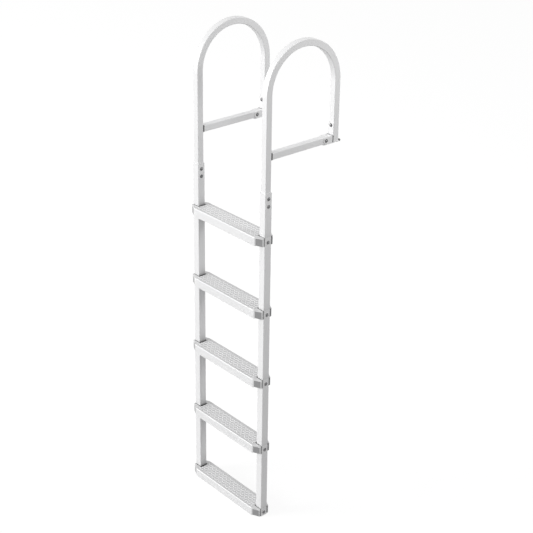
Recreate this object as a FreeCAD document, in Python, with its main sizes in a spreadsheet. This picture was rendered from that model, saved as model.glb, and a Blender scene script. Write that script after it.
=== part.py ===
"""Dock ladder with two hoop handrails and five flat treads.

Frame: the origin is on the underside of the left foot, on the axis of the left
rear leg. +X runs along the treads to the right stringer, +Y runs inland over
the dock and +Z is up, so the deck is the plane z = 0 and the ladder hangs
below it at negative y.
"""

import FreeCAD, Part
import os

import Sketcher
from FreeCAD import Vector

doc = FreeCAD.newDocument("DockLadder")

# Driving dimensions, in millimetres

DIMENSIONS = [
    ("stringerSpacing", 388, "left to right stringer, centre to centre"),
    ("stringerSize", 32, "outside of the square stringer tube"),
    ("stringerWall", 2.6, "wall of the stringer tube"),
    ("stringerCorner", 3, "outside corner radius of the stringer tube"),
    ("slipGap", 0.4, "gap each side of the handrail inside the stringer"),
    ("handrailWall", 2.2, "wall of the handrail tube"),
    ("handrailCorner", 2.6, "outside corner radius of the handrail tube"),
    ("hoopRadius", 166, "radius of the hoop, on the tube's centre line"),
    ("hoopRise", 240.5, "height of the hoop's centre above the deck"),
    ("jointDrop", 122, "top end of the stringer below the deck"),
    ("insertLength", 72, "handrail held inside the stringer"),
    ("jointBoltInset", 21, "first joint bolt below the stringer's top end"),
    ("jointBoltPitch", 30, "from one joint bolt to the next"),
    ("firstTreadDrop", 293.2, "top of the first tread below the deck"),
    ("stepSpacing", 300, "from tread to tread"),
    ("treadDepth", 79, "front to back of a tread"),
    ("treadHeight", 35.6, "height of a tread's front rail"),
    ("treadSkin", 4.8, "thickness of the tread's top"),
    ("treadRail", 2.6, "thickness of the tread's front and rear rails"),
    ("noseRadius", 3.5, "rounding along the tread's top edges"),
    ("ribThickness", 2.2, "ribs under the tread's top"),
    ("ribDepth", 16, "how far the ribs hang below the tread's top"),
    ("ribPitch", 24, "from one rib to the other"),
    ("grooveDepth", 0.5, "grooves along the rails"),
    ("grooveWidth", 2, "width of a groove"),
    ("groovePitch", 7.5, "from one groove to the next"),
    ("cornerRun", 33.5, "length of the cut tread corner, along the tread"),
    ("earReach", 23, "half depth of a tread at its very end"),
    ("notchGap", 0.3, "gap round the stringer in an end cap"),
    ("capLength", 62, "length of an end cap"),
    ("capGap", 0.2, "gap between an end cap and its tread"),
    ("capLift", 1.2, "bottom of an end cap above the tread's lower edge"),
    ("capRound", 3, "rounding along an end cap's outer and lower edges"),
    ("collarReach", 2.4, "width of the cap's collar in front of and behind the stringer"),
    ("collarInner", 5.5, "width of the cap's collar on the stringer's inner side"),
    ("collarDrop", 0.8, "top of the cap's collar below the tread's top"),
    ("boltDrop", 21.4, "step bolt below the tread's top"),
    ("boltSize", 6, "diameter of every bolt's shank"),
    ("boltGap", 0.2, "gap round a shank in its hole"),
    ("headWidth", 15, "diameter of a domed bolt head"),
    ("headHeight", 4.4, "height of a domed bolt head"),
    ("nutWidth", 10, "width of a plain nut across its flats"),
    ("nutHeight", 5, "height of a plain nut"),
    ("footPlate", 2.5, "thickness of the foot's base plate"),
    ("footWeb", 2.8, "thickness of the foot's upright"),
    ("webHeight", 77, "height of the foot's upright above the deck"),
    ("cheekWall", 3, "thickness of a cheek beside the brace"),
    ("cheekGap", 0.2, "gap between a cheek and the brace"),
    ("pivotSetback", 52, "brace bolt in front of the rear leg's axis"),
    ("legBoltHeight", 65, "leg bolt above the deck"),
    ("legBoltLength", 14, "length of the leg bolt's shank"),
    ("tabReach", 30, "end of the foot's rear tab behind the rear leg's axis"),
    ("screwSetback", 21, "deck screw hole behind the rear leg's axis"),
    ("screwHole", 6.6, "diameter of the deck screw hole"),
    ("braceWall", 2, "wall of the brace tube"),
    ("plugFlange", 5, "thickness of a brace plug's flange"),
    ("plugSpigot", 14, "length of a brace plug inside the tube"),
    ("plugGap", 0.2, "gap round a brace plug inside the tube"),
]

STEP_COUNT = 5
GROOVES_PER_RAIL = 4
BOLTS_PER_JOINT = 2
SLACK = 1  # a cut's start or end beyond the surface it cuts through, in millimetres
TOUCH = 1e-6  # how near counts as touching, in millimetres

sizes = doc.addObject("Spreadsheet::Sheet", "sizes")
for row, (alias, number, note) in enumerate(DIMENSIONS, start=1):
    sizes.set(f"A{row}", note)
    sizes.set(f"B{row}", str(number))
    sizes.setAlias(f"B{row}", alias)
doc.recompute()

# Sizes that follow from the driving dimensions, as expressions

RAIL_SIZE = "(sizes.stringerSize - 2 * (sizes.stringerWall + sizes.slipGap))"
HALF_RAIL = f"({RAIL_SIZE} / 2)"
HALF_STRINGER = "(sizes.stringerSize / 2)"
HALF_DEPTH = "(sizes.treadDepth / 2)"
FRONT_Y = "(-2 * sizes.hoopRadius)"
END_X = f"(sizes.stringerSpacing / 2 + {HALF_STRINGER})"
BOTTOM_DROP = f"(sizes.firstTreadDrop + {STEP_COUNT - 1} * sizes.stepSpacing + sizes.treadHeight)"
STRINGER_LENGTH = f"({BOTTOM_DROP} - sizes.jointDrop)"
BRACE_HEIGHT = f"(sizes.footPlate + {HALF_RAIL})"
FOOT_WIDTH = f"({RAIL_SIZE} + 2 * (sizes.cheekGap + sizes.cheekWall))"
BRACE_START = f"({FRONT_Y} + {HALF_RAIL} + sizes.plugFlange)"
WEB_FRONT = f"(-{HALF_RAIL} - sizes.footWeb)"
BRACE_END = f"({WEB_FRONT} - sizes.plugFlange)"
HOLE_RADIUS = "(sizes.boltSize / 2 + sizes.boltGap)"
NOTCH_HALF = f"({HALF_STRINGER} + sizes.notchGap)"
COLLAR_HALF = f"({NOTCH_HALF} + sizes.collarReach)"
CAP_BOTTOM = "(sizes.treadHeight - sizes.capLift)"
EAR_ROUND = f"min(sizes.capRound; (sizes.earReach - {NOTCH_HALF}) / 2)"
INNER_CORNER_LEAST = 0.4


def value(expression):
    """The number that an expression gives now."""
    result = sizes.evalExpression(str(expression))
    return float(getattr(result, "Value", result))


def bind(target, name, expression):
    """Ties one property of an object to an expression on the sheet."""
    target.setExpression(name, str(expression))


def place(target, x="0", y="0", z="0"):
    """Ties an object's position to expressions."""
    for letter, expression in zip("xyz", (x, y, z)):
        bind(target, f"Placement.Base.{letter}", expression)


# Sketch helpers


def new_body(label):
    body = doc.addObject("PartDesign::Body", label)
    body.Label = label
    return body


def new_sketch(body, name, role, offset=None):
    """A sketch on one of the body's own origin planes, moved along its normal."""
    sketch = body.newObject("Sketcher::SketchObject", f"{body.Name}_{name}")
    plane = next(f for f in body.Origin.OriginFeatures if f.Role == role)
    sketch.AttachmentSupport = [(plane, "")]
    sketch.MapMode = "FlatFace"
    if offset is not None:
        bind(sketch, "AttachmentOffset.Base.z", offset)
    return sketch


def pin_point(sketch, geometry, point, x, y):
    """Ties a point of a sketch to two expressions, measured from the origin."""
    for kind, axis, expression in (("DistanceX", -2, x), ("DistanceY", -1, y)):
        number = value(expression)
        if abs(number) < TOUCH:
            sketch.addConstraint(Sketcher.Constraint("PointOnObject", geometry, point, axis))
            continue
        index = sketch.addConstraint(
            Sketcher.Constraint(kind, -1, 1, geometry, point, number)
        )
        sketch.setExpression(f"Constraints[{index}]", str(expression))


def add_polygon(sketch, corners):
    """A closed outline through corners given as pairs of expressions."""
    first = sketch.GeometryCount
    points = [Vector(value(x), value(y), 0) for x, y in corners]
    count = len(points)
    for index, point in enumerate(points):
        sketch.addGeometry(Part.LineSegment(point, points[(index + 1) % count]))
    for index in range(count):
        following = first + (index + 1) % count
        sketch.addConstraint(Sketcher.Constraint("Coincident", first + index, 2, following, 1))
    for index, (x, y) in enumerate(corners):
        pin_point(sketch, first + index, 1, x, y)


def add_rectangle(sketch, x_low, x_high, y_low, y_high):
    add_polygon(sketch, [(x_low, y_low), (x_high, y_low), (x_high, y_high), (x_low, y_high)])


def add_circle(sketch, x, y, radius):
    centre = Vector(value(x), value(y), 0)
    index = sketch.addGeometry(Part.Circle(centre, Vector(0, 0, 1), value(radius)))
    pin_point(sketch, index, 3, x, y)
    constraint = sketch.addConstraint(Sketcher.Constraint("Radius", index, value(radius)))
    sketch.setExpression(f"Constraints[{constraint}]", str(radius))


def add_rounded_square(sketch, size, corner, x="0", y="0"):
    """Four sides and four tangent corner arcs, centred on (x, y)."""
    half, radius = value(size) / 2, value(corner)
    middle = Vector(value(x), value(y), 0)
    flat = half - radius
    first = sketch.GeometryCount
    for quarter in range(4):
        turn = FreeCAD.Rotation(Vector(0, 0, 1), 90 * quarter)
        start = middle + turn.multVec(Vector(-flat, -half, 0))
        end = middle + turn.multVec(Vector(flat, -half, 0))
        bend = middle + turn.multVec(Vector(flat, -flat, 0))
        tip = middle + turn.multVec(Vector(half, -flat, 0))
        halfway = bend + (end - bend + tip - bend).normalize() * radius
        sketch.addGeometry(Part.LineSegment(start, end))
        sketch.addGeometry(Part.Arc(end, halfway, tip))
    for index in range(8):
        following = first + (index + 1) % 8
        sketch.addConstraint(Sketcher.Constraint("Tangent", first + index, 2, following, 1))
    for index, kind in enumerate(("Horizontal", "Vertical", "Horizontal", "Vertical")):
        sketch.addConstraint(Sketcher.Constraint(kind, first + 2 * index))
    for index in (3, 5, 7):
        sketch.addConstraint(Sketcher.Constraint("Equal", first + 1, first + index))
    radius_index = sketch.addConstraint(Sketcher.Constraint("Radius", first + 1, radius))
    sketch.setExpression(f"Constraints[{radius_index}]", str(corner))
    sides = [
        ("DistanceX", first + 2, f"{x} + {size} / 2"),
        ("DistanceY", first + 4, f"{y} + {size} / 2"),
        ("DistanceX", first + 6, f"{x} - {size} / 2"),
        ("DistanceY", first, f"{y} - {size} / 2"),
    ]
    for kind, line, expression in sides:
        index = sketch.addConstraint(Sketcher.Constraint(kind, -1, 1, line, 1, value(expression)))
        sketch.setExpression(f"Constraints[{index}]", expression)


def add_tube_section(sketch, size, wall, corner, x="0", y="0"):
    """The ring of a square tube: its outside and, one wall in, its inside."""
    add_rounded_square(sketch, size, corner, x, y)
    inner_corner = f"max({corner} - {wall}; {INNER_CORNER_LEAST})"
    add_rounded_square(sketch, f"({size} - 2 * {wall})", inner_corner, x, y)


# Feature helpers


def pad(body, sketch, length, reverse=False, both_ways=False):
    feature = body.newObject("PartDesign::Pad", f"{sketch.Name}_pad")
    feature.Profile = sketch
    bind(feature, "Length", length)
    feature.Reversed = reverse
    feature.SideType = "Symmetric" if both_ways else "One side"
    doc.recompute()
    return feature


def pocket(body, sketch, depth, reverse=False, both_ways=False):
    """Cuts a sketch out of the body and makes sure that it took something away."""
    before = body.Shape.Volume
    feature = body.newObject("PartDesign::Pocket", f"{sketch.Name}_pocket")
    feature.Profile = sketch
    bind(feature, "Length", depth)
    feature.Reversed = reverse
    feature.SideType = "Symmetric" if both_ways else "One side"
    doc.recompute()
    if body.Shape.Volume >= before - TOUCH:
        raise RuntimeError(f"{feature.Name} cuts nothing")
    return feature


def round_edges(body, name, radius, chosen):
    """Rounds those edges of the body that a test picks out."""
    base = body.Tip
    edges = [
        f"Edge{number}" for number, edge in enumerate(base.Shape.Edges, start=1) if chosen(edge)
    ]
    feature = body.newObject("PartDesign::Fillet", f"{body.Name}_{name}")
    feature.Base = (base, edges)
    bind(feature, "Radius", radius)
    doc.recompute()


SUB_PARTS = []


def keep(target, label):
    """Marks an object as a finished sub-part under its label."""
    target.Label = label
    SUB_PARTS.append(target)
    return target


# Positions that repeat on both sides of the ladder

SIDES = {"left": ("0", -1), "right": ("sizes.stringerSpacing", 1)}


def step_bolt_height(step):
    """Height of a step's bolts over the stringer's bottom end."""
    above = STEP_COUNT - step
    return f"({above} * sizes.stepSpacing + sizes.treadHeight - sizes.boltDrop)"


def joint_bolt_drop(index):
    """How far a joint bolt lies below the stringer's top end."""
    return f"(sizes.jointBoltInset + {index} * sizes.jointBoltPitch)"


def make_stringer(side):
    """Straight square tube from the lowest tread up to the handrail joint."""
    body = new_body(f"{side}_stringer")
    section = new_sketch(body, "section", "XY_Plane")
    add_tube_section(section, "sizes.stringerSize", "sizes.stringerWall", "sizes.stringerCorner")
    pad(body, section, STRINGER_LENGTH)
    holes = new_sketch(body, "holes", "YZ_Plane")
    for index in range(BOLTS_PER_JOINT):
        height = f"({STRINGER_LENGTH} - {joint_bolt_drop(index)})"
        add_circle(holes, "0", height, HOLE_RADIUS)
    for step in range(1, STEP_COUNT + 1):
        add_circle(holes, "0", step_bolt_height(step), HOLE_RADIUS)
    pocket(body, holes, "2 * sizes.stringerSize", both_ways=True)
    place(body, SIDES[side][0], FRONT_Y, f"-{BOTTOM_DROP}")
    keep(body, f"{side}_stringer")


def make_handrail(side):
    """One bent square tube: front leg, half-circle hoop and rear leg.

    The body's origin is on the front leg's axis at the height of the hoop's
    centre.
    """
    body = new_body(f"{side}_handrail")
    span = "(2 * sizes.hoopRadius)"
    front = new_sketch(body, "front", "XY_Plane")
    add_tube_section(front, RAIL_SIZE, "sizes.handrailWall", "sizes.handrailCorner")
    pad(body, front, "(sizes.hoopRise + sizes.jointDrop + sizes.insertLength)", reverse=True)

    bend = new_sketch(body, "bend", "XY_Plane")
    add_tube_section(bend, RAIL_SIZE, "sizes.handrailWall", "sizes.handrailCorner")
    reach, radius = value("sizes.stringerSize"), value("sizes.hoopRadius")
    axis = bend.addGeometry(
        Part.LineSegment(Vector(-reach, radius, 0), Vector(reach, radius, 0)), True
    )
    pin_point(bend, axis, 1, "-sizes.stringerSize", "sizes.hoopRadius")
    pin_point(bend, axis, 2, "sizes.stringerSize", "sizes.hoopRadius")
    hoop = body.newObject("PartDesign::Revolution", f"{body.Name}_hoop")
    hoop.Profile = bend
    hoop.ReferenceAxis = (bend, ["Axis0"])
    hoop.Angle = 180
    hoop.Reversed = True
    doc.recompute()

    rear = new_sketch(body, "rear", "XY_Plane")
    add_tube_section(rear, RAIL_SIZE, "sizes.handrailWall", "sizes.handrailCorner", "0", span)
    pad(body, rear, "(sizes.hoopRise - sizes.footPlate)", reverse=True)

    cross_holes = new_sketch(body, "cross_holes", "YZ_Plane")
    for index in range(BOLTS_PER_JOINT):
        drop = f"(-sizes.hoopRise - sizes.jointDrop - {joint_bolt_drop(index)})"
        add_circle(cross_holes, "0", drop, HOLE_RADIUS)
    pocket(body, cross_holes, "2 * sizes.stringerSize", both_ways=True)

    leg_hole = new_sketch(body, "leg_hole", "XZ_Plane", f"-({span} - {HALF_RAIL} - {SLACK})")
    add_circle(leg_hole, "0", "(sizes.legBoltHeight - sizes.hoopRise)", HOLE_RADIUS)
    pocket(body, leg_hole, f"(sizes.handrailWall + 2 * {SLACK})")
    place(body, SIDES[side][0], FRONT_Y, "sizes.hoopRise")
    keep(body, f"{side}_handrail")


def make_tread(step):
    """Aluminium channel, open below, cut to the plan of its end caps.

    The body's origin is the middle of the tread's top.
    """
    body = new_body(f"step_{step}_tread")
    width = f"(2 * {END_X})"
    block = new_sketch(body, "block", "YZ_Plane")
    add_rectangle(block, f"-{HALF_DEPTH}", HALF_DEPTH, "-sizes.treadHeight", "0")
    pad(body, block, width, both_ways=True)

    hollow = new_sketch(body, "hollow", "YZ_Plane")
    inside = f"({HALF_DEPTH} - sizes.treadRail)"
    add_rectangle(
        hollow, f"-{inside}", inside, f"(-sizes.treadHeight - {SLACK})", "-sizes.treadSkin"
    )
    pocket(body, hollow, f"({width} + 2 * {SLACK})", both_ways=True)

    ribs = new_sketch(body, "ribs", "YZ_Plane")
    for sign in ("-", ""):
        centre = f"({sign}sizes.ribPitch / 2)"
        add_rectangle(
            ribs,
            f"({centre} - sizes.ribThickness / 2)",
            f"({centre} + sizes.ribThickness / 2)",
            "(-sizes.treadSkin - sizes.ribDepth)",
            "-sizes.treadSkin / 2",
        )
    pad(body, ribs, f"({width} - 2 * sizes.capLength - 4 * sizes.capGap)", both_ways=True)

    grooves = new_sketch(body, "grooves", "YZ_Plane")
    for sign in ("-", ""):
        outer = f"({sign}({HALF_DEPTH} + {SLACK}))"
        floor = f"({sign}({HALF_DEPTH} - sizes.grooveDepth))"
        for index in range(GROOVES_PER_RAIL):
            low = f"(-sizes.treadHeight + {index + 1} * sizes.groovePitch - 1.5 * sizes.grooveWidth)"
            high = f"({low} + sizes.grooveWidth)"
            add_polygon(grooves, [(outer, low), (outer, high), (floor, high), (floor, low)])
    pocket(body, grooves, f"({width} + 2 * {SLACK})", both_ways=True)
    round_edges(body, "nose", "sizes.noseRadius", is_nose_edge)

    corners = new_sketch(body, "corners", "XY_Plane")
    beyond = f"({HALF_DEPTH} + {SLACK})"
    for x_sign in ("-", ""):
        tip = f"({x_sign}({END_X} + {SLACK}))"
        start = f"({x_sign}({END_X} - sizes.cornerRun))"
        for y_sign in ("-", ""):
            outline = [
                (tip, f"({y_sign}{corner_depth_at(-SLACK)})"),
                (tip, f"({y_sign}{beyond})"),
                (start, f"({y_sign}{beyond})"),
                (start, f"({y_sign}{HALF_DEPTH})"),
            ]
            add_polygon(corners, outline)
    pocket(body, corners, f"(sizes.treadHeight + {SLACK})")

    notches = new_sketch(body, "notches", "XY_Plane")
    for x_sign in ("-", ""):
        add_rectangle(
            notches,
            f"({x_sign}(sizes.stringerSpacing / 2 - {NOTCH_HALF} - sizes.collarInner - sizes.capGap))",
            f"({x_sign}({END_X} + {SLACK}))",
            f"(-{COLLAR_HALF} - sizes.capGap)",
            f"({COLLAR_HALF} + sizes.capGap)",
        )
    pocket(body, notches, f"(sizes.treadHeight + {SLACK})")
    place(body, "sizes.stringerSpacing / 2", FRONT_Y, tread_top(step))
    keep(body, f"step_{step}_tread")


def is_nose_edge(edge):
    """True for the two long outer edges of the tread's top."""
    box = edge.BoundBox
    at_top = abs(box.ZMax) < TOUCH and abs(box.ZMin) < TOUCH
    at_side = abs(abs(box.YMin) - value(HALF_DEPTH)) < TOUCH
    return at_top and at_side and box.YLength < TOUCH


def corner_depth_at(inset):
    """Half depth of the cut tread, at a distance in from its very end."""
    slope = f"({HALF_DEPTH} - sizes.earReach) / sizes.cornerRun"
    return f"(sizes.earReach + ({inset}) * {slope})"


def tread_top(step):
    return f"(-sizes.firstTreadDrop - {step - 1} * sizes.stepSpacing)"


def make_cap(step, side):
    """Plastic end cap that fills the tread's end and wraps three sides of the
    stringer, with a collar that rises round them through the tread's notch. The
    body's origin is the tread's end, on the tread's middle line and at its top;
    local +X points inwards on the left and outwards on the right."""
    sign = SIDES[side][1]
    body = new_body(f"step_{step}_{side}_cap")
    depth = f"({HALF_DEPTH} - sizes.treadRail - sizes.capGap)"
    meet = f"(sizes.cornerRun * ({depth} - sizes.earReach) / ({HALF_DEPTH} - sizes.earReach))"
    notch_depth = f"({HALF_STRINGER} + {NOTCH_HALF})"

    def inward(distance):
        return f"(-{distance})" if sign > 0 else f"({distance})"

    half_outline = [
        (inward("sizes.capLength"), depth),
        (inward(meet), depth),
        ("0", "sizes.earReach"),
        ("0", NOTCH_HALF),
        (inward(notch_depth), NOTCH_HALF),
    ]
    top = "(sizes.treadSkin + sizes.capGap)"
    plan = new_sketch(body, "plan", "XY_Plane", f"-{top}")
    add_polygon(plan, half_outline + mirrored(half_outline))
    pad(body, plan, f"({CAP_BOTTOM} - {top})", reverse=True)
    round_edges(body, "round", EAR_ROUND, is_outer_cap_edge)
    half_collar = [
        (inward(f"({notch_depth} + sizes.collarInner)"), COLLAR_HALF),
        ("0", COLLAR_HALF),
        ("0", NOTCH_HALF),
        (inward(notch_depth), NOTCH_HALF),
    ]
    collar = new_sketch(body, "collar", "XY_Plane", f"-{top}")
    add_polygon(collar, half_collar + mirrored(half_collar))
    pad(body, collar, f"({top} - sizes.collarDrop)")
    hole = new_sketch(body, "hole", "YZ_Plane")
    add_circle(hole, "0", "-sizes.boltDrop", HOLE_RADIUS)
    pocket(body, hole, "3 * sizes.capLength", both_ways=True)
    end = f"(sizes.stringerSpacing / 2 + {sign} * {END_X})"
    place(body, end, FRONT_Y, tread_top(step))
    keep(body, f"step_{step}_{side}_cap")


def mirrored(half_outline):
    """The other half of an outline that is symmetric about the X axis."""
    return [(x, f"(-{y})") for x, y in reversed(half_outline)]


def is_outer_cap_edge(edge):
    """True for the cap's upright outer corners and for the lower edges that show."""
    box = edge.BoundBox
    at_end = abs(box.XMin) < TOUCH and abs(box.XMax) < TOUCH
    upright_corner = at_end and abs(abs(box.YMin) - value("sizes.earReach")) < TOUCH
    is_low = abs(box.ZMax + value(CAP_BOTTOM)) < TOUCH
    slanted = box.XLength > TOUCH and box.YLength > TOUCH
    return (upright_corner and box.YLength < TOUCH) or (is_low and (at_end or slanted))


# Bolts


def dome(name, x, y, z, axis, outward):
    """A domed head: a slice of a ball whose flat side lies on the surface."""
    radius = "((sizes.headWidth ^ 2 / 4 + sizes.headHeight ^ 2) / (2 * sizes.headHeight))"
    ball = doc.addObject("Part::Sphere", name)
    bind(ball, "Radius", radius)
    bind(ball, "Angle1", f"asin(({radius} - sizes.headHeight) / {radius})")
    ball.Angle2 = 90
    ball.Placement.Rotation = FreeCAD.Rotation(Vector(0, 0, 1), axis * outward)
    offset = f"({outward} * ({radius} - sizes.headHeight))"
    position = [x, y, z]
    index = 0 if axis == X_AXIS else 1
    position[index] = f"({position[index]} - {offset})"
    place(ball, *position)
    return ball


def shank(name, x, y, z, axis, length):
    rod = doc.addObject("Part::Cylinder", name)
    bind(rod, "Radius", "sizes.boltSize / 2")
    bind(rod, "Height", length)
    rod.Placement.Rotation = FreeCAD.Rotation(Vector(0, 0, 1), axis)
    place(rod, x, y, z)
    return rod


def plain_nut(name, x, y, z, axis):
    nut = doc.addObject("Part::Prism", name)
    nut.Polygon = 6
    bind(nut, "Circumradius", "sizes.nutWidth / 2 / cos(30)")
    bind(nut, "Height", "sizes.nutHeight")
    nut.Placement.Rotation = FreeCAD.Rotation(Vector(0, 0, 1), axis)
    place(nut, x, y, z)
    return nut


def fuse(name, pieces):
    joined = doc.addObject("Part::MultiFuse", name)
    joined.Shapes = pieces
    return joined


X_AXIS = Vector(1, 0, 0)
Y_AXIS = Vector(0, 1, 0)


def through_bolt(name, x, y, z, width):
    """A bolt along X with a domed head at each end of a stack of a width."""
    low, high = f"({x} - {width} / 2)", f"({x} + {width} / 2)"
    return fuse(
        name,
        [
            dome(f"{name}_left_head", low, y, z, X_AXIS, -1),
            dome(f"{name}_right_head", high, y, z, X_AXIS, 1),
            shank(f"{name}_shank", low, y, z, X_AXIS, width),
        ],
    )


def make_step_bolt(step, side):
    """Domed bolt through the stringer and its cap, with a nut inside."""
    x, sign = SIDES[side]
    name = f"step_{step}_{side}_bolt"
    face = f"({x} + {sign} * {HALF_STRINGER})"
    grip = "sizes.capLength"
    z = f"({tread_top(step)} - sizes.boltDrop)"
    inner = f"({face} - {sign} * {grip})"
    rod_start = inner if sign > 0 else face
    nut_start = f"({inner} - sizes.nutHeight)" if sign > 0 else inner
    tail = f"({rod_start} - {'sizes.nutHeight' if sign > 0 else '0'})"
    bolt = fuse(
        name,
        [
            dome(f"{name}_head", face, FRONT_Y, z, X_AXIS, sign),
            shank(f"{name}_shank", tail, FRONT_Y, z, X_AXIS, f"({grip} + sizes.nutHeight)"),
            plain_nut(f"{name}_nut", nut_start, FRONT_Y, z, X_AXIS),
        ],
    )
    keep(bolt, name)


def make_joint_bolts(side):
    """The two bolts that hold a handrail in its stringer, as one sub-part."""
    x = SIDES[side][0]
    bolts = [
        through_bolt(
            f"{side}_joint_bolt_{index + 1}",
            x,
            FRONT_Y,
            f"(-sizes.jointDrop - {joint_bolt_drop(index)})",
            "sizes.stringerSize",
        )
        for index in range(BOLTS_PER_JOINT)
    ]
    pair = doc.addObject("Part::Compound", f"{side}_joint_bolts")
    pair.Links = bolts
    keep(pair, f"{side}_joint_bolts")


# Brace and foot


def make_brace(side):
    """Square tube at deck level from the front leg to the foot."""
    body = new_body(f"{side}_brace")
    section = new_sketch(body, "section", "XZ_Plane", f"-{BRACE_START}")
    add_tube_section(
        section, RAIL_SIZE, "sizes.braceWall", "sizes.handrailCorner", "0", BRACE_HEIGHT
    )
    pad(body, section, f"({BRACE_END} - {BRACE_START})", reverse=True)
    hole = new_sketch(body, "hole", "YZ_Plane")
    add_circle(hole, "-sizes.pivotSetback", BRACE_HEIGHT, HOLE_RADIUS)
    pocket(body, hole, "2 * sizes.stringerSize", both_ways=True)
    place(body, SIDES[side][0])
    keep(body, f"{side}_brace")


def make_plug(side, place_name, face, direction, width):
    """Plastic plug: a flange against the leg and a spigot inside the brace."""
    body = new_body(f"{side}_brace_{place_name}_plug")
    reverse = direction > 0
    flange = new_sketch(body, "flange", "XZ_Plane", f"-{face}")
    half = f"({width} / 2)"
    add_rectangle(
        flange, f"-{half}", half, "sizes.footPlate", f"(sizes.footPlate + {RAIL_SIZE})"
    )
    pad(body, flange, "sizes.plugFlange", reverse=reverse)
    spigot = new_sketch(body, "spigot", "XZ_Plane", f"-{face}")
    inner = f"({RAIL_SIZE} - 2 * (sizes.braceWall + sizes.plugGap))"
    add_rounded_square(spigot, inner, INNER_CORNER_LEAST, "0", BRACE_HEIGHT)
    pad(body, spigot, "(sizes.plugFlange + sizes.plugSpigot)", reverse=reverse)
    place(body, SIDES[side][0])
    keep(body, f"{side}_brace_{place_name}_plug")


def make_foot(side):
    """Foot bracket: base plate with a rear tab, an upright on the leg's front
    face and two cheeks with round noses beside the brace's end."""
    name = f"{side}_foot_bracket"
    body = new_body(name)
    half_width = f"({FOOT_WIDTH} / 2)"
    nose_y = f"(-sizes.pivotSetback - {HALF_RAIL})"
    plate = new_sketch(body, "plate", "XY_Plane")
    tab_centre = f"(sizes.tabReach - {half_width})"
    add_rectangle(plate, f"-{half_width}", half_width, nose_y, tab_centre)
    pad(body, plate, "sizes.footPlate")
    tab = new_sketch(body, "tab", "XY_Plane")
    add_circle(tab, "0", tab_centre, half_width)
    pad(body, tab, "sizes.footPlate")

    web = new_sketch(body, "web", "XZ_Plane", HALF_RAIL)
    add_rectangle(web, f"-{HALF_RAIL}", HALF_RAIL, "0", "sizes.webHeight")
    pad(body, web, "sizes.footWeb")

    cheek_inner = f"({HALF_RAIL} + sizes.cheekGap)"
    for sign, word in (("-", "left"), ("", "right")):
        offset = f"(-{half_width})" if sign else cheek_inner
        cheek = new_sketch(body, f"{word}_cheek", "YZ_Plane", offset)
        add_rectangle(
            cheek, "-sizes.pivotSetback", BRACE_END, "0", f"(sizes.footPlate + {RAIL_SIZE})"
        )
        pad(body, cheek, "sizes.cheekWall")
        nose = new_sketch(body, f"{word}_nose", "YZ_Plane", offset)
        add_circle(nose, "-sizes.pivotSetback", BRACE_HEIGHT, HALF_RAIL)
        pad(body, nose, "sizes.cheekWall")
        heel = new_sketch(body, f"{word}_heel", "YZ_Plane", offset)
        add_rectangle(heel, nose_y, "-sizes.pivotSetback", "0", "sizes.footPlate")
        pad(body, heel, "sizes.cheekWall")

    pivot = new_sketch(body, "pivot", "YZ_Plane")
    add_circle(pivot, "-sizes.pivotSetback", BRACE_HEIGHT, HOLE_RADIUS)
    pocket(body, pivot, "2 * sizes.stringerSize", both_ways=True)
    leg_hole = new_sketch(body, "leg_hole", "XZ_Plane")
    add_circle(leg_hole, "0", "sizes.legBoltHeight", HOLE_RADIUS)
    pocket(body, leg_hole, "2 * sizes.stringerSize", both_ways=True)
    screw = new_sketch(body, "screw", "XY_Plane")
    add_circle(screw, "0", "sizes.screwSetback", "sizes.screwHole / 2")
    pocket(body, screw, "3 * sizes.footPlate", both_ways=True)
    place(body, SIDES[side][0])
    keep(body, name)


def make_foot_bolts(side):
    """The bolt across the brace's end and the short bolt into the rear leg."""
    x = SIDES[side][0]
    brace_bolt = through_bolt(
        f"{side}_brace_bolt", x, "-sizes.pivotSetback", BRACE_HEIGHT, FOOT_WIDTH
    )
    keep(brace_bolt, f"{side}_brace_bolt")
    name = f"{side}_leg_bolt"
    leg_bolt = fuse(
        name,
        [
            dome(f"{name}_head", x, WEB_FRONT, "sizes.legBoltHeight", Y_AXIS, -1),
            shank(f"{name}_shank", x, WEB_FRONT, "sizes.legBoltHeight", Y_AXIS, "sizes.legBoltLength"),
        ],
    )
    keep(leg_bolt, name)


for side in SIDES:
    make_stringer(side)
    make_handrail(side)
    make_joint_bolts(side)
    make_brace(side)
    make_plug(side, "front", f"({FRONT_Y} + {HALF_RAIL})", 1, RAIL_SIZE)
    make_plug(side, "rear", WEB_FRONT, -1, FOOT_WIDTH)
    make_foot(side)
    make_foot_bolts(side)

for step in range(1, STEP_COUNT + 1):
    make_tread(step)
    for side in SIDES:
        make_cap(step, side)
        make_step_bolt(step, side)

doc.recompute()

# Checks and export

for item in doc.Objects:
    if "Invalid" in item.State or "Error" in item.State:
        raise RuntimeError(f"{item.Name} failed: {item.State}")

os.makedirs("parts", exist_ok=True)
for item in SUB_PARTS:
    if item.Shape.isNull() or not item.Shape.isValid():
        raise RuntimeError(f"{item.Label} has no valid shape")
for item in SUB_PARTS:
    item.Shape.exportStep(os.path.join("parts", f"{item.Label}.step"))
    box = item.Shape.BoundBox
    print(
        f"{item.Label}: {len(item.Shape.Solids)} solid(s), {item.Shape.Volume / 1000:.1f} cm3,"
        f" z {box.ZMin:.1f} to {box.ZMax:.1f}"
    )
print(f"{len(SUB_PARTS)} sub-parts written")
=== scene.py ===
import math

import bmesh
import bpy
from mathutils import Matrix, Vector


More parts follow.
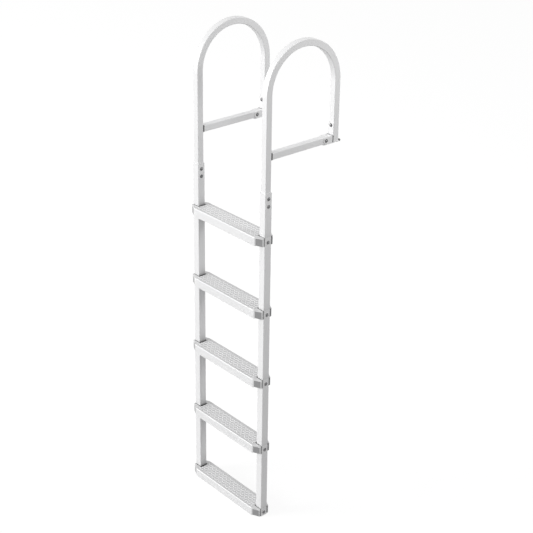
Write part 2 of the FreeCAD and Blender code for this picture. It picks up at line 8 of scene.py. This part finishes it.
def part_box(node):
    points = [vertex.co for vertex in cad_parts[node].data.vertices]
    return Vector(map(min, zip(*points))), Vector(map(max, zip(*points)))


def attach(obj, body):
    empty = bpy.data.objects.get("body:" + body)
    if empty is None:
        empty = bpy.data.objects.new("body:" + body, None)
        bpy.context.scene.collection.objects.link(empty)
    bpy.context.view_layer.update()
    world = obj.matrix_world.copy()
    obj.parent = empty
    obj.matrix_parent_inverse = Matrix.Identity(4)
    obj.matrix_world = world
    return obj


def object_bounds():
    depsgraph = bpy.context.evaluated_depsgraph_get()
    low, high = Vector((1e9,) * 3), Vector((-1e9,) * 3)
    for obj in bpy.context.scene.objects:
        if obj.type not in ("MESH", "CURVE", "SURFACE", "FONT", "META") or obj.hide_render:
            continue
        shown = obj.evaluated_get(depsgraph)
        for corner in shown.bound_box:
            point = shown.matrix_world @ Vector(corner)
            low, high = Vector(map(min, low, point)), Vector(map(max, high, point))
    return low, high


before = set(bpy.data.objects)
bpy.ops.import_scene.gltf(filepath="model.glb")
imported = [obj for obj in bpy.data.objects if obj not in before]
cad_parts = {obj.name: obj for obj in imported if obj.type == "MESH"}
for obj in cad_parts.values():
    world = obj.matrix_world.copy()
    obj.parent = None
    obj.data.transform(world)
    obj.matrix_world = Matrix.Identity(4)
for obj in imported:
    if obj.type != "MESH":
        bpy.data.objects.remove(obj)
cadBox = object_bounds()
print("frame loaded:", len(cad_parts), "nodes")


# Shader maths: a socket that Python's operators work on

class Signal:
    def __init__(self, sheet, output):
        self.sheet = sheet
        self.output = output

    def mathNode(self, operation, *values):
        return self.sheet.node("ShaderNodeMath", {"operation": operation}, dict(enumerate(values)))

    def __add__(self, other):
        return self.mathNode("ADD", self, other)

    def __radd__(self, other):
        return self.mathNode("ADD", other, self)

    def __sub__(self, other):
        return self.mathNode("SUBTRACT", self, other)

    def __rsub__(self, other):
        return self.mathNode("SUBTRACT", other, self)

    def __mul__(self, other):
        return self.mathNode("MULTIPLY", self, other)

    def __rmul__(self, other):
        return self.mathNode("MULTIPLY", other, self)

    def __pow__(self, other):
        return self.mathNode("POWER", self, other)

    def __rpow__(self, other):
        return self.mathNode("POWER", other, self)

    def __abs__(self):
        return self.mathNode("ABSOLUTE", self)

    def fraction(self):
        return self.mathNode("FRACT", self)

    def above(self, low):
        return self.mathNode("MAXIMUM", self, low)

    def below(self, high):
        return self.mathNode("MINIMUM", self, high)

    def within(self, low, high):
        return self.above(low).below(high)

    def past(self, start, width):
        # 0 up to a start and 1 from one width beyond it
        return ((self - start) * (1 / width)).within(0, 1)


class Sheet:  # one node tree
    def __init__(self, tree):
        self.tree = tree

    def node(self, kind, settings=None, sockets=None, output=0):
        made = self.tree.nodes.new(kind)
        for name, value in (settings or {}).items():
            setattr(made, name, value)
        for name, value in (sockets or {}).items():
            self.feed(made, name, value)
        return Signal(self, made.outputs[output])

    def feed(self, node, name, value):
        if isinstance(value, Signal):
            self.tree.links.new(value.output, node.inputs[name])
        else:
            node.inputs[name].default_value = value

    def place(self):  # object coordinates, which are the ladder's own in metres
        point = self.node("ShaderNodeTexCoord", output="Object")
        split = self.node("ShaderNodeSeparateXYZ", sockets={"Vector": point})
        return [Signal(self, split.output.node.outputs[axis]) for axis in "XYZ"]

    def vector(self, x, y, z):
        return self.node("ShaderNodeCombineXYZ", sockets={"X": x, "Y": y, "Z": z})

    def noise(self, vector, scale, detail):
        values = {"Vector": vector, "Scale": scale, "Detail": detail}
        return self.node("ShaderNodeTexNoise", sockets=values)

    def shade(self, mask, low, high):
        # a Mix node for colours has them at sockets 6 and 7 and its result at output 2
        low, high = [tone if isinstance(tone, Signal) else (*tone, 1) for tone in (low, high)]
        return self.node("ShaderNodeMix", {"data_type": "RGBA"}, {0: mask, 6: low, 7: high}, 2)

    def darken(self, colour, share):
        values = {0: colour, "Scale": share}
        return self.node("ShaderNodeVectorMath", {"operation": "SCALE"}, values)

    def seenDirectly(self):
        # 1 for the camera, reflections and glass, 0 for the light that falls on the object
        rays = self.node("ShaderNodeLightPath").output.node.outputs
        camera, glossy, through = [Signal(self, rays[f"Is {ray} Ray"])
                                   for ray in ("Camera", "Glossy", "Transmission")]
        return (camera + glossy + through).within(0, 1)


class Finish(Sheet):  # a material on one Principled shader
    def __init__(self, name, **constants):
        self.material = bpy.data.materials.new(name)
        self.material.use_nodes = True
        super().__init__(self.material.node_tree)
        self.shader = self.tree.nodes["Principled BSDF"]
        for socket, value in constants.items():
            self.shader.inputs[socket.replace("_", " ")].default_value = value

    def paint(self, socket, value):
        self.feed(self.shader, socket, value)

    def bump(self, height, strength, distance):
        values = {"Height": height, "Strength": strength, "Distance": distance}
        self.paint("Normal", self.node("ShaderNodeBump", sockets=values))


# Main measures, read from the frame

railLow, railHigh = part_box("left_handrail")
hoopOuter = (railHigh.y - railLow.y) / 2
hoopMiddleY = (railHigh.y + railLow.y) / 2
hoopRise = railHigh.z - hoopOuter
treadLow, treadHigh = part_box("step_1_tread")
firstTop = treadHigh.z
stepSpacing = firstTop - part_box("step_2_tread")[1].z
treadMiddle = (treadLow + treadHigh) / 2
stringerLow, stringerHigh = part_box("left_stringer")
innerFace = treadMiddle.x - stringerHigh.x  # from the treads' middle
outerFace = treadMiddle.x - stringerLow.x
stringerHalf = (stringerHigh.y - stringerLow.y) / 2
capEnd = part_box("step_1_right_cap")[1].x - treadMiddle.x
crisp, soft = 0.0002, 0.0004  # how sharply a painted patch ends, in metres


# Finishes

grip = {
    "cell": 0.0236,  # from one bar to the next that lies the same way
    "length": 0.0130,
    "width": 0.0050,
    "height": 0.0012,
    "offset": (-0.0015, -0.0015),  # a bar's centre from the tread's middle
    "sideMargin": 0.0062,  # smooth edge along the tread's front and back
    "endMargin": 0.0015,  # smooth edge beside a stringer
    "around": 12,
    "rings": 3,
    "ground": 0.85,  # painted shade: how light the tread's top is between the bars, beside its front
}

aluminium = {
    "light": (0.90, 0.90, 0.905),
    "dark": (0.86, 0.86, 0.865),
    "metallic": 0.2,
    "roughness": 0.48,
    "grainPitch": 900,  # lines to a metre across an extrusion
    "grainRun": 5,  # and along it
    "cloudScale": 7,
    "grainShare": 0.6,  # of the grain in the colour, the rest is cloud
    "least": 0.3,  # noise below this is the dark colour
    "contrast": 2.2,
    "cloudRough": 0.12,
    "grainRough": 0.1,
    "bumpStrength": 0.35,
    "grainBump": 0.00004,
    "treadShade": 0.5,  # painted shade: how much darker a stringer's inner face gets down at a tread
    "treadShadeReach": 0.022,
    "sideShade": 0.13,  # and its other faces
    "sideReach": 0.012,
    "fade": 0.368,  # what is left of the painted shade after its reach
    "gapDepth": 0.0049,  # painted shade in the gap between a stringer and the notch round it
    "gapShare": 0.12,
    "cornerWidth": 0.001,  # the stringer's outer face and its corners stay without painted shade there
}


def brushedFinish(name, across, light=1.0, paintedLightAndTone=None):
    # across gives the two coordinates across the extrusion and the one along it
    finish = Finish(name, Metallic=aluminium["metallic"])
    low, high = [[light * part for part in aluminium[tone]] for tone in ("dark", "light")]
    first, second, along = across(finish)
    pitch, run = aluminium["grainPitch"], aluminium["grainRun"]
    streaks = finish.noise(finish.vector(first * pitch, second * pitch, along * run), 1, 3)
    cloud = finish.noise(finish.vector(first, second, along), aluminium["cloudScale"], 2)
    grain = aluminium["grainShare"]
    mask = (streaks * grain + cloud * (1 - grain) - aluminium["least"]) * aluminium["contrast"]
    colour = finish.shade(mask.within(0, 1), low, high)
    # the given function paints shade into the colour
    if paintedLightAndTone:
        colour = finish.darken(colour, paintedLightAndTone(finish))
    finish.paint("Base Color", colour)
    uneven = (cloud - 0.5) * aluminium["cloudRough"] + (streaks - 0.5) * aluminium["grainRough"]
    finish.paint("Roughness", aluminium["roughness"] + uneven)
    finish.bump(streaks, aluminium["bumpStrength"], aluminium["grainBump"])
    return finish.material


def dropUnderTop(z):
    # how far a point lies under the top of the nearest tread
    return (((firstTop - z) * (1 / stepSpacing) + 0.5).fraction() - 0.5) * stepSpacing


def paintedShadeAtTreads(finish):
    # painted shade where a stringer meets a tread: in the corner above the tread and in the gap
    # round the stringer
    x, y, z = finish.place()
    height = ((z - firstTop) * (1 / stepSpacing)).fraction() * stepSpacing
    aside = abs(x - treadMiddle.x)
    inner = 1 - aside.past(innerFace + crisp, soft)
    fade = aluminium["fade"]
    # painted shade, deep on the inner face and slight on the others, fading upwards from each tread
    deep = inner * aluminium["treadShade"] * fade ** (height * (1 / aluminium["treadShadeReach"]))
    slight = (1 - inner) * aluminium["sideShade"] * fade ** (height * (1 / aluminium["sideReach"]))
    drop = dropUnderTop(z)
    # painted shade in the gap round the stringer
    inGap = drop.past(0, crisp) * (1 - drop.past(aluminium["gapDepth"], crisp))
    inNotch = 1 - aside.past(outerFace - aluminium["cornerWidth"], soft)
    return (1 - (deep + slight)) * (1 - inGap * inNotch * (1 - aluminium["gapShare"]))


def paintedShadeOnTreadTop(finish):
    # painted shade: the flat top of a tread is darker than its sides
    x, y, z = finish.place()
    top = 1 - dropUnderTop(z).past(crisp, crisp)
    return 1 - top * (1 - grip["ground"])


def acrossTube(finish):
    x, y, z = finish.place()
    overHoop = (z - hoopRise).above(0)
    radius = ((y - hoopMiddleY) ** 2 + overHoop ** 2) ** 0.5
    return x, radius, z


def acrossBrace(finish):
    x, y, z = finish.place()
    return x, z, y


def acrossTread(finish):
    x, y, z = finish.place()
    return y, z, x


plastic = {
    "light": (0.405, 0.405, 0.41),
    "dark": (0.365, 0.365, 0.37),
    "roughness": 0.42,
    "uneven": 0.15,
    "pebble": 1400,
    "cloudScale": 30,
    "bumpStrength": 0.3,
    "bumpDepth": 0.0001,
}


def mouldedFinish(name, paintedLightAndTone):
    finish = Finish(name, IOR=1.5)
    x, y, z = finish.place()
    point = finish.vector(x, y, z)
    pebble = finish.noise(point, plastic["pebble"], 2)
    cloud = finish.noise(point, plastic["cloudScale"], 2)
    colour = finish.shade(cloud, plastic["dark"], plastic["light"])
    # the given function paints light and shade into a cap's colour, or darkens a plug to its own
    # tone
    finish.paint("Base Color", paintedLightAndTone(finish, colour, x, y, z))
    finish.paint("Roughness", plastic["roughness"] + (pebble - 0.5) * plastic["uneven"])
    finish.bump(pebble, plastic["bumpStrength"], plastic["bumpDepth"])
    return finish.material


cap = {
    "earReach": 0.023,  # half depth of a cap at its very end
    "edge": (0.9, 0.9, 0.905),  # painted highlight on the upright corners at the cap's end
    "edgeWidth": 0.003,
    "edgeStart": -0.0003,
    "edgeBlur": 0.0006,
    "endSkin": 0.0005,  # what lies this near the end counts as the end face
    "endShare": 0.8,  # painted shade: how light the end face is beside the slanted sides
    "collarDepth": 0.0049,  # the cap's collar lies this near under the tread's top
    "collarShare": 0.12,  # painted shade: and it is this dark beside the rest
}


def capLightAndShade(finish, colour, x, y, z):
    fromMiddle, fromLine = abs(x - treadMiddle.x), abs(y - treadMiddle.y)
    toEnd = fromMiddle - (capEnd - cap["edgeWidth"])
    toSide = fromLine - (cap["earReach"] - cap["edgeWidth"])
    # painted shade: the cap's end face is darker than its slanted sides
    onEnd = toEnd.past(cap["edgeWidth"] - cap["endSkin"], crisp)
    colour = finish.darken(colour, 1 - onEnd * (1 - cap["endShare"]))
    # painted highlight on the cap's upright corners
    atCorner = toEnd.below(toSide).past(cap["edgeStart"], cap["edgeBlur"])
    colour = finish.shade(atCorner, colour, cap["edge"])
    # painted shade on the collar round the stringer, left off further in than the stringer's inner
    # face, ahead of or behind it
    collar = 1 - dropUnderTop(z).past(cap["collarDepth"], crisp)
    outsideShade = (1 - fromMiddle.past(innerFace, soft)) * fromLine.past(stringerHalf, soft)
    return finish.darken(colour, 1 - collar * (1 - cap["collarShare"]) * (1 - outsideShade))


plug = {
    "share": 0.4,  # how dark the brace plugs are beside the caps
}


def darkPlug(finish, colour, x, y, z):
    return finish.darken(colour, plug["share"])


steel = {  # darker than bare steel, as the bolt heads mostly look in the photo
    "light": (0.18, 0.18, 0.183),
    "dark": (0.12, 0.12, 0.122),
    "roughness": 0.15,
    "uneven": 0.06,
    "turnedScale": 1800,
}


def steelFinish(name):
    finish = Finish(name, Metallic=1.0)
    x, y, z = finish.place()
    turned = finish.noise(finish.vector(x, y, z), steel["turnedScale"], 3)
    finish.paint("Base Color", finish.shade(turned, steel["dark"], steel["light"]))
    finish.paint("Roughness", steel["roughness"] + (turned - 0.5) * steel["uneven"])
    return finish.material


foot = {
    "tabFrom": 0.0134,  # the tab starts behind the rear leg
    "tabShare": 0.16,  # and is this dark beside the rest
    "roughness": 0.44,
    "uneven": 0.16,
    "grit": 1600,
    "cloudScale": 40,
    "bumpStrength": 0.3,
    "bumpDepth": 0.00006,
}


def castFinish(name):
    finish = Finish(name, Metallic=aluminium["metallic"])
    x, y, z = finish.place()
    point = finish.vector(x, y, z)
    grit = finish.noise(point, foot["grit"], 3)
    cloud = finish.noise(point, foot["cloudScale"], 2)
    colour = finish.shade(cloud, aluminium["dark"], aluminium["light"])
    tab = y.past(foot["tabFrom"], soft)
    finish.paint("Base Color", finish.darken(colour, 1 - tab * (1 - foot["tabShare"])))
    finish.paint("Roughness", foot["roughness"] + (grit - 0.5) * foot["uneven"])
    finish.bump(grit, foot["bumpStrength"], foot["bumpDepth"])
    return finish.material


# the third value is how light a piece's metal is beside the plain tubes; for the far handrail it is
# painted shade, for the near stringer and the grip bars painted light
tubeMetal = brushedFinish("tube metal", acrossTube)
shadedFarTubeMetal = brushedFinish("far tube metal", acrossTube, 0.965)
stringerMetal = brushedFinish("stringer metal", acrossTube, 1.0, paintedShadeAtTreads)
litNearStringerMetal = brushedFinish("near stringer metal", acrossTube, 1.03, paintedShadeAtTreads)
braceMetal = brushedFinish("brace metal", acrossBrace)
treadMetal = brushedFinish("tread metal", acrossTread, 0.96, paintedShadeOnTreadTop)
# painted light: the grip bars are lighter than the tread they stand on, to stand in for their lit
# sides
litGripMetal = brushedFinish("grip metal", acrossTread, 1.1)
footMetal = castFinish("foot metal")
capPlastic = mouldedFinish("cap plastic", capLightAndShade)
plugPlastic = mouldedFinish("plug plastic", darkPlug)
boltSteel = steelFinish("bolt steel")

nodeFinishes = [  # the end of a node's name and its finish, the first that fits
    ("right_stringer", litNearStringerMetal),
    ("_stringer", stringerMetal),
    ("left_handrail", shadedFarTubeMetal),
    ("_handrail", tubeMetal),
    ("_brace", braceMetal),
    ("_tread", treadMetal),
    ("_foot_bracket", footMetal),
    ("_cap", capPlastic),
    ("_plug", plugPlastic),
    ("_bolt", boltSteel),
    ("_bolts", boltSteel),
]

for name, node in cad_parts.items():
    node.data.materials.clear()
    node.data.materials.append(next(made for end, made in nodeFinishes if name.endswith(end)))
print("finishes set")


# Raised bars on the treads: a checker plate, its bars at 45 degrees by turns

def addBar(mesh, x, y, z, turn):
    # an oval dome: rings that shrink as they rise, and a point on top
    turning = Matrix.Rotation(turn, 3, "Z")
    rings = []
    for ring in range(grip["rings"]):
        share = 1 - ring / grip["rings"]
        height = grip["height"] * math.sin(math.acos(share)) if ring else 0
        corners = []
        for step in range(grip["around"]):
            angle = 2 * math.pi * step / grip["around"]
            point = Vector((math.cos(angle) * grip["length"] / 2 * share,
                            math.sin(angle) * grip["width"] / 2 * share, height))
            corners.append(mesh.verts.new(Vector((x, y, z)) + turning @ point))
        rings.append(corners)
    top = mesh.verts.new((x, y, z + grip["height"]))
    for lower, upper in zip(rings, rings[1:]):
        for step in range(grip["around"]):
            following = (step + 1) % grip["around"]
            mesh.faces.new((lower[step], lower[following], upper[following], upper[step]))
    last = rings[-1]
    for step in range(grip["around"]):
        mesh.faces.new((last[step], last[(step + 1) % grip["around"]], top))


def makeGrip(step):
    low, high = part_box(f"step_{step}_tread")
    middle = (low + high) / 2
    half = grip["cell"] / 2
    reach = grip["length"] / 2 * math.cos(math.pi / 4)
    left = stringerHigh.x + grip["endMargin"] + reach
    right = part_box("right_stringer")[0].x - grip["endMargin"] - reach
    front = low.y + grip["sideMargin"] + reach
    back = high.y - grip["sideMargin"] - reach
    mesh = bmesh.new()
    count = int((high.x - low.x) / half)
    for column in range(-count, count + 1):
        for row in range(-count, count + 1):
            x = middle.x + grip["offset"][0] + column * half
            y = middle.y + grip["offset"][1] + row * half
            if left < x < right and front < y < back:
                turn = -math.pi / 4 if (column + row) % 2 == 0 else math.pi / 4
                addBar(mesh, x, y, high.z, turn)
    data = bpy.data.meshes.new(f"step_{step}_grip")
    mesh.to_mesh(data)
    mesh.free()
    for face in data.polygons:
        face.use_smooth = True
    piece = bpy.data.objects.new(f"step_{step}_grip", data)
    bpy.context.scene.collection.objects.link(piece)
    data.materials.append(litGripMetal)
    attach(piece, "root")
    return len(data.polygons)


for step in range(1, 6):
    print("grip on step", step, "has", makeGrip(step), "faces")


# Floor and surroundings

surroundings = {
    "floorSpan": 60,
    "floorColour": (0.22, 0.22, 0.22),
    "seenGlow": 0.86,  # what the camera and reflections see of the floor by itself
    "seenShare": 0.22,  # and how much of the light on it, so its shadow stays
    "ambient": 0.47,  # the even light from all round, where 1 is white
}


def makeFloor():
    half = surroundings["floorSpan"] / 2
    lowest = cadBox[0].z
    corners = [(x * half, y * half, lowest) for x, y in ((-1, -1), (1, -1), (1, 1), (-1, 1))]
    data = bpy.data.meshes.new("floor")
    data.from_pydata(corners, [], [(0, 1, 2, 3)])
    floor = bpy.data.objects.new("floor", data)
    bpy.context.scene.collection.objects.link(floor)
    material = bpy.data.materials.new("floor paint")
    material.use_nodes = True
    sheet = Sheet(material.node_tree)
    sheet.tree.nodes.remove(sheet.tree.nodes["Principled BSDF"])
    share = surroundings["seenShare"]
    lit = sheet.node("ShaderNodeBsdfDiffuse", sockets={"Color": (*surroundings["floorColour"], 1)})
    faint = sheet.node("ShaderNodeBsdfDiffuse", sockets={"Color": (share, share, share, 1)})
    glow = sheet.node("ShaderNodeEmission", sockets={"Strength": surroundings["seenGlow"]})
    pale = sheet.node("ShaderNodeAddShader", sockets={0: faint, 1: glow})
    mixed = sheet.node("ShaderNodeMixShader", sockets={0: sheet.seenDirectly(), 1: lit, 2: pale})
    sheet.feed(sheet.tree.nodes["Material Output"], "Surface", mixed)
    data.materials.append(material)


def makeWorld():
    world = bpy.data.worlds.new("studio")
    world.use_nodes = True
    bpy.context.scene.world = world
    sheet = Sheet(world.node_tree)
    ambient = surroundings["ambient"]
    background = sheet.tree.nodes["Background"]
    sheet.feed(background, "Color", (1, 1, 1, 1))
    sheet.feed(background, "Strength", ambient + sheet.seenDirectly() * (1 - ambient))


makeFloor()
makeWorld()
print("floor and surroundings made")


# Lamps

ladderMiddle = Vector((0.19, -0.33, -0.55))


def direction(azimuth, elevation):
    # from the ladder outwards; azimuth 0 is the front, 90 the right side
    across, up = math.radians(azimuth), math.radians(elevation)
    return Vector((math.sin(across) * math.cos(up), -math.cos(across) * math.cos(up), math.sin(up)))


lamps = [
    {"name": "key", "aim": ladderMiddle, "azimuth": -32, "elevation": 12, "distance": 16,
     "size": 6, "watts": 1730, "spread": 180},
    {"name": "overhead", "aim": ladderMiddle, "azimuth": -20, "elevation": 70, "distance": 8,
     "size": 4, "watts": 66, "spread": 180},
    {"name": "side", "aim": Vector((0.2, 1.0, 0.9)), "azimuth": 90, "elevation": 20, "distance": 3.5,
     "size": 1, "watts": 13.5, "spread": 70},
]


def makeLamp(name, aim, azimuth, elevation, distance, size, watts, spread):
    lamp = bpy.data.lights.new(name, "AREA")
    lamp.shape = "SQUARE"
    lamp.size = size
    lamp.energy = watts
    lamp.spread = math.radians(spread)
    holder = bpy.data.objects.new(name, lamp)
    bpy.context.scene.collection.objects.link(holder)
    outwards = direction(azimuth, elevation)
    holder.location = aim + outwards * distance
    holder.rotation_mode = "QUATERNION"
    holder.rotation_quaternion = (-outwards).to_track_quat("-Z", "Y")


for lamp in lamps:
    makeLamp(**lamp)
print("lamps made")


# Camera, at the photograph's angle

view = {
    "azimuth": 49.48,
    "elevation": 23.746,
    "roll": 0.382,
    "place": (3.5127, -3.1155, 1.6062),
    "focalPixels": 1254.7,
    "axisPixel": (242.0, 221.0),
    "framePixels": 533,
    "sensor": 36.0,
}


def makeCamera():
    back = direction(view["azimuth"], view["elevation"])
    across = math.radians(view["azimuth"])
    level = Vector((math.cos(across), math.sin(across), 0))
    upright = back.cross(level)
    roll = math.radians(view["roll"])
    right = level * math.cos(roll) + upright * math.sin(roll)
    up = upright * math.cos(roll) - level * math.sin(roll)
    data = bpy.data.cameras.new("camera")
    data.sensor_width = view["sensor"]
    data.lens = view["focalPixels"] / view["framePixels"] * view["sensor"]
    middle = view["framePixels"] / 2
    data.shift_x = (middle - view["axisPixel"][0]) / view["framePixels"]
    data.shift_y = (view["axisPixel"][1] - middle) / view["framePixels"]
    camera = bpy.data.objects.new("camera", data)
    bpy.context.scene.collection.objects.link(camera)
    turn = Matrix((right, up, back)).transposed().to_4x4()
    camera.matrix_world = Matrix.Translation(view["place"]) @ turn
    bpy.context.scene.camera = camera


makeCamera()
bpy.context.scene.view_settings.view_transform = "Standard"
print("camera made")
